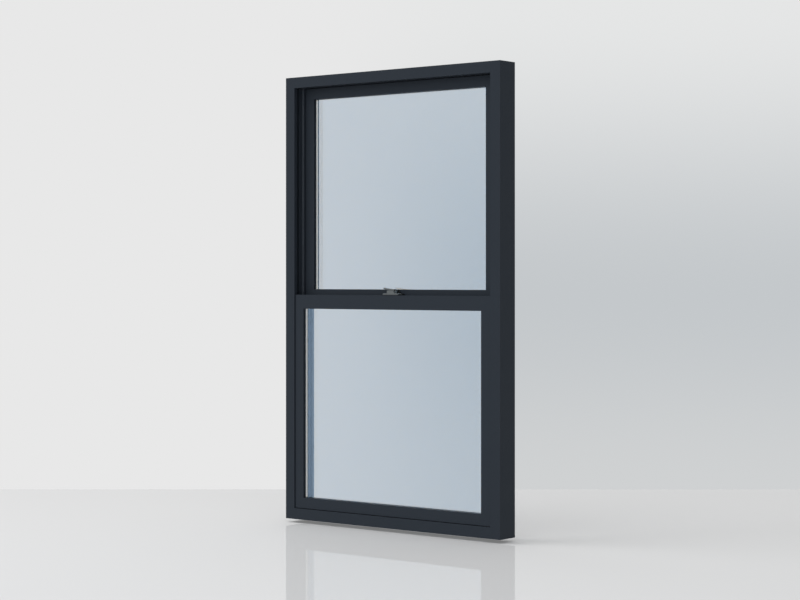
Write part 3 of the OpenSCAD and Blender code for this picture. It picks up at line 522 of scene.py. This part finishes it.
class WINDOW_OT_hang(Operator):
    """Finishes the balance hardware and screws, and winds the springs between anchors and shoes"""

    bl_idname = "sash_window.hang"
    bl_label = "Hang balances"

    def execute(self, context):
        balance = context.scene.sash_window.balance
        natural = moulded_nylon(
            "Moulded nylon", balance.nylon, balance.nylon_shade, balance.spark, gleam=0.5)
        dyed = moulded_nylon(
            "Dyed moulded nylon", balance.dark_nylon, balance.dark_nylon_shade, balance.spark, gleam=0.08)
        dress(nodes_in("nylon"), natural)
        dress(nodes_in("dark_nylon"), dyed)
        dress(nodes_in("zinc_steel"), zinc_plate(balance))
        steel = rolled_spring_steel(balance)
        dress(nodes_in("spring_steel"), steel)
        for sash in ("lower", "upper"):
            self.stretch_strips(sash, steel)
            self.wind_coils(sash, balance, steel)
        return {"FINISHED"}

    def stretch_strips(self, sash, steel):
        """Makes each balance's straight strip, which runs from the frame above down to the sash below."""
        node = sash + "_spring_strips"
        for label, (low, high) in zip(("left", "right"), solid_boxes(node)):
            work = bmesh.new()
            ease = (high.x - low.x) * STRIP_EASE
            section = [
                (low.x, low.y + ease), (low.x + ease, low.y),
                (high.x - ease, low.y), (high.x, low.y + ease),
                (high.x, high.y - ease), (high.x - ease, high.y),
                (low.x + ease, high.y), (low.x, high.y - ease)]
            bridge(work, [[work.verts.new((x, y, z)) for x, y in section] for z in (low.z, high.z)])
            strip = new_piece(f"{sash}_{label}_spring_strip", work, steel)
            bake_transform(strip)
            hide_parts(node)

    def wind_coils(self, sash, balance, steel):
        """Winds each rolled spring as one thin strip, from its hollow out to the straight strip."""
        node = sash + "_spring_coils"
        gauge = balance.gauge
        steps = COIL_STEPS * balance.turns
        for label, side, (low, high) in zip(("left", "right"), (-1, 1), solid_boxes(node)):
            middle = (low + high) / 2
            outer = (high.z - low.z) / 2
            radii = [
                math.hypot(v.co.x - middle.x, v.co.z - middle.z)
                for v in nodes[node].data.vertices if v.co.x * side > 0]
            inner = min(radii) + gauge
            work = bmesh.new()
            rings = []
            for step in range(steps + 1):
                angle = 2 * math.pi * (step - steps) / COIL_STEPS
                reach = inner + (outer - inner) * step / steps
                rings.append([
                    work.verts.new((
                        middle.x + side * (reach - depth) * math.cos(angle), y,
                        middle.z + (reach - depth) * math.sin(angle)))
                    for depth, y in ((0, low.y), (0, high.y), (gauge, high.y), (gauge, low.y))])
            bridge(work, rings)
            bmesh.ops.recalc_face_normals(work, faces=work.faces)
            coil = new_piece(f"{sash}_{label}_spring_coil", work, steel)
            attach(coil, sash + "_sash")
            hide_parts(node)


class WINDOW_OT_seal(Operator):
    """Brushes up the pile strips on the jambs and the meeting rail"""

    bl_idname = "sash_window.seal"
    bl_label = "Fit pile strips"

    def execute(self, context):
        pile = context.scene.sash_window.pile
        fibre = woven_pile(pile)
        self.brush("jamb_pile_strips", "frame", "jamb_pile", pile, fibre)
        self.brush("meeting_pile_strip", "upper_sash", "meeting_pile", pile, fibre)
        return {"FINISHED"}

    def brush(self, node, body, name, pile, fibre):
        """Weaves a thin back for each strip of a node and stands rows of leaning tufts on it."""
        draw = random.Random(name)
        work = bmesh.new()
        for low, high in solid_boxes(node):
            self.fill_strip(work, low, high, pile, draw)
        bmesh.ops.recalc_face_normals(work, faces=work.faces)
        strip = new_piece(name, work, fibre)
        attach(strip, body)
        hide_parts(node)

    def fill_strip(self, work, low, high, pile, draw):
        """Adds the back and the tufts of one strip, which faces the room and runs along x or z."""
        axes = (0, 2) if high.x - low.x > high.z - low.z else (2, 0)
        long, wide = axes
        proud = high.y - low.y
        back_y = high.y - pile.back * proud
        count = round((high[long] - low[long]) / pile.tuft)
        pitch = (high[long] - low[long]) / count
        row_width = (high[wide] - low[wide]) / pile.rows
        outline = (
            (low[long], low[wide]), (high[long], low[wide]),
            (high[long], high[wide]), (low[long], high[wide]))
        bridge(work, [
            [self.corner(work, axes, along, across, y) for along, across in outline]
            for y in (high.y, back_y)])
        for i in range(count):
            for row in range(pile.rows):
                along = low[long] + (i + 0.5) * pitch
                across = low[wide] + (row + 0.5) * row_width
                foot = [
                    self.corner(work, axes, along + pitch * a, across + row_width * b, back_y + TUFT_ROOT)
                    for a, b in TUFT_FOOT]
                tip = self.corner(
                    work, axes,
                    along + pitch * draw.uniform(-TUFT_LEAN, TUFT_LEAN),
                    across + row_width * draw.uniform(-TUFT_LEAN, TUFT_LEAN),
                    low.y + proud * draw.uniform(0, TUFT_SHORT))
                work.faces.new(foot)
                for a, b in zip(foot, foot[1:] + foot[:1]):
                    work.faces.new((b, a, tip))

    def corner(self, work, axes, along, across, y):
        """A new corner of a strip whose long and wide axes are given."""
        place = Vector((0, y, 0))
        place[axes[0]], place[axes[1]] = along, across
        return work.verts.new(place)


class WINDOW_OT_lock(Operator):
    """Finishes the cam lock and its keeper"""

    bl_idname = "sash_window.lock"
    bl_label = "Finish lock"

    def execute(self, context):
        lock = context.scene.sash_window.lock
        satin = zinc_casting(
            "Satin plated zinc", lock.zinc, lock.zinc_grain, lock.grain,
            metallic=1.0, smooth=0.31, dull=0.44)
        black = zinc_casting(
            "Black zinc casting", lock.black, lock.black_grain, lock.grain,
            metallic=0.0, smooth=0.4, dull=0.53)
        dress(nodes_in("cast_zinc"), satin)
        dress(nodes_in("black_cast_zinc"), black)
        round_edges(["lock_base", "lock_lever", "keeper"], lock.edge)
        return {"FINISHED"}


class WINDOW_OT_stage(Operator):
    """Sets the pale floor, the studio's light and the camera round the window"""

    bl_idname = "sash_window.stage"
    bl_label = "Set stage"

    def execute(self, context):
        scene = context.scene
        stage = scene.sash_window.stage
        scene.view_settings.view_transform = "Standard"
        forward = Vector((-math.sin(stage.turn), math.cos(stage.turn), 0))
        right = Vector((math.cos(stage.turn), math.sin(stage.turn), 0))
        floor = self.lay_floor(stage, forward, right)
        self.paint_room(stage, right)
        self.hang_lamp("softbox", stage.box_power, stage.box, **SOFTBOX)
        self.hang_lamp("overhead", stage.top_power, WHITE, **OVERHEAD)
        behind = self.hang_lamp("back", stage.back_power, WHITE, **BEHIND)
        self.keep_off(behind, floor)
        self.place_camera(stage)
        return {"FINISHED"}

    def lay_floor(self, stage, forward, right):
        """Lays a pale polished floor, with its far edge square to the camera."""
        reach = stage.floor_size
        mesh = bpy.data.meshes.new("floor")
        corners = [
            forward * -reach - right * reach, forward * -reach + right * reach,
            forward * stage.floor_back + right * reach, forward * stage.floor_back - right * reach]
        mesh.from_pydata([(c.x, c.y, -stage.floor_drop) for c in corners], [], [(0, 1, 2, 3)])
        floor = bpy.data.objects.new("floor", mesh)
        bpy.context.scene.collection.objects.link(floor)
        # The panes show the even wall in place of the floor's far edge.
        floor.visible_glossy = False
        floor.visible_transmission = False
        # Polished pale resin: even colour, with a faint clear reflection of what stands on it.
        material, tree, shader, _ = finish_named(
            "Polished resin floor", Base_Color=stage.floor, Roughness=1.0, Specular_IOR_Level=0.0)
        mirror = add(tree, "ShaderNodeBsdfGlossy", {"Color": WHITE, "Roughness": 0.03})
        polish = add(tree, "ShaderNodeMixShader", {
            0: stage.polish, 1: shader.outputs["BSDF"], 2: mirror.outputs["BSDF"]})
        tree.links.new(polish.outputs["Shader"], tree.nodes["Material Output"].inputs["Surface"])
        mesh.materials.append(material)
        return floor

    def paint_room(self, stage, right):
        """Paints the wall for camera, glossy and transmitted rays, and lights the rest with a soft fill."""
        world = bpy.data.worlds.new("Studio")
        bpy.context.scene.world = world
        world.use_nodes = True
        tree = world.node_tree
        tree.nodes.clear()
        direction = add(tree, "ShaderNodeTexCoord").outputs["Generated"]
        across = add(tree, "ShaderNodeVectorMath", {0: direction, 1: right}, operation="DOT_PRODUCT")
        side = add(tree, "ShaderNodeMapRange", {
            "Value": across.outputs["Value"], "From Min": SHADE_FROM, "From Max": SHADE_TO},
            interpolation_type="SMOOTHSTEP")
        height = add(tree, "ShaderNodeSeparateXYZ", {"Vector": direction})
        rise = add(tree, "ShaderNodeMapRange", {
            "Value": height.outputs["Z"], "From Min": RISE_FROM, "From Max": RISE_TO})
        ramp = add(tree, "ShaderNodeValToRGB", {"Fac": rise.outputs["Result"]})
        stops = ramp.color_ramp
        stops.interpolation = "EASE"
        foot, top = stops.elements
        foot.position = FOOT_STOP
        foot.color = stage.wall_foot
        top.position = TOP_STOP
        top.color = stage.wall_top
        stops.elements.new(SHADE_STOP).color = stage.wall_shade
        wall = add(tree, "ShaderNodeMix", {
            MIX_SHARE: side.outputs["Result"], MIX_FIRST: stage.wall, MIX_SECOND: ramp.outputs["Color"]},
            data_type="RGBA")
        beyond = add(tree, "ShaderNodeMapRange", {
            "Value": across.outputs["Value"], "From Min": GLOW_FROM, "From Max": GLOW_TO},
            interpolation_type="SMOOTHSTEP")
        room = add(tree, "ShaderNodeMix", {
            MIX_SHARE: beyond.outputs["Result"], MIX_FIRST: wall.outputs[MIXED], MIX_SECOND: stage.glow},
            data_type="RGBA")
        backdrop = add(tree, "ShaderNodeBackground", {"Color": room.outputs[MIXED], "Strength": 1.0})
        lean = add(tree, "ShaderNodeVectorMath", {0: direction, 1: stage.lean}, operation="DOT_PRODUCT")
        leaning = add(tree, "ShaderNodeMath", {
            0: lean.outputs["Value"], 1: stage.fill, 2: stage.fill}, operation="MULTIPLY_ADD")
        level = add(tree, "ShaderNodeMath", {0: leaning.outputs["Value"], 1: 0.0}, operation="MAXIMUM")
        fill = add(tree, "ShaderNodeBackground", {"Color": WHITE, "Strength": level.outputs["Value"]})
        path = add(tree, "ShaderNodeLightPath").outputs
        seen = add(tree, "ShaderNodeMath", {
            0: path["Is Camera Ray"], 1: path["Is Glossy Ray"]}, operation="MAXIMUM")
        shown = add(tree, "ShaderNodeMath", {
            0: seen.outputs["Value"], 1: path["Is Transmission Ray"]}, operation="MAXIMUM")
        mix = add(tree, "ShaderNodeMixShader", {
            0: shown.outputs["Value"], 1: fill.outputs["Background"], 2: backdrop.outputs["Background"]})
        add(tree, "ShaderNodeOutputWorld", {"Surface": mix.outputs["Shader"]})

    def hang_lamp(self, name, watts, tint, place, target, size):
        """Hangs a soft lamp that the glass and metal don't mirror."""
        lamp = bpy.data.lights.new(name, "AREA")
        lamp.shape = "RECTANGLE"
        lamp.size, lamp.size_y = size
        lamp.energy = watts
        lamp.color = tint[:3]
        holder = bpy.data.objects.new(name, lamp)
        bpy.context.scene.collection.objects.link(holder)
        holder.location = place
        holder.rotation_euler = (Vector(target) - Vector(place)).to_track_quat("-Z", "Y").to_euler()
        holder.visible_glossy = False
        holder.visible_transmission = False
        return holder

    def keep_off(self, lamp, floor):
        """Keeps a lamp's light off the floor."""
        shaded = bpy.data.collections.new("floor in shade")
        shaded.objects.link(floor)
        shaded.collection_objects[0].light_linking.link_state = "EXCLUDE"
        lamp.light_linking.receiver_collection = shaded

    def place_camera(self, stage):
        """Puts the camera at the photograph's place, level, with the picture shifted to its framing."""
        data = bpy.data.cameras.new("camera")
        data.sensor_width = SENSOR_MM
        data.lens = data.sensor_width * stage.focal_px / IMAGE_WIDTH_PX
        data.shift_y = stage.shift
        camera = bpy.data.objects.new("camera", data)
        camera.location = stage.camera
        camera.rotation_euler = (math.pi / 2, 0, stage.turn)
        bpy.context.scene.collection.objects.link(camera)
        bpy.context.scene.camera = camera


class WINDOW_PT_panel(Panel):
    """Lists the steps that dress the window"""

    bl_idname = "WINDOW_PT_panel"
    bl_label = "Sash window"
    bl_space_type = "VIEW_3D"
    bl_region_type = "UI"
    bl_category = "Sash window"

    def draw(self, context):
        for step in STEPS:
            self.layout.operator(step.bl_idname)


STEPS = (
    WINDOW_OT_stage, WINDOW_OT_coat, WINDOW_OT_glaze, WINDOW_OT_hang, WINDOW_OT_seal, WINDOW_OT_lock)
GROUPS = (
    CoatSettings, GlazingSettings, BalanceSettings, PileSettings, LockSettings, StageSettings,
    WindowSettings)


def register():
    for part in (*GROUPS, *STEPS, WINDOW_PT_panel):
        bpy.utils.register_class(part)
    bpy.types.Scene.sash_window = PointerProperty(type=WindowSettings)


def unregister():
    del bpy.types.Scene.sash_window
    for part in reversed((*GROUPS, *STEPS, WINDOW_PT_panel)):
        bpy.utils.unregister_class(part)


def main():
    register()
    bpy.ops.sash_window.stage()
    bpy.ops.sash_window.coat()
    bpy.ops.sash_window.glaze()
    bpy.ops.sash_window.hang()
    bpy.ops.sash_window.seal()
    bpy.ops.sash_window.lock()


if __name__ == "__main__":
    main()
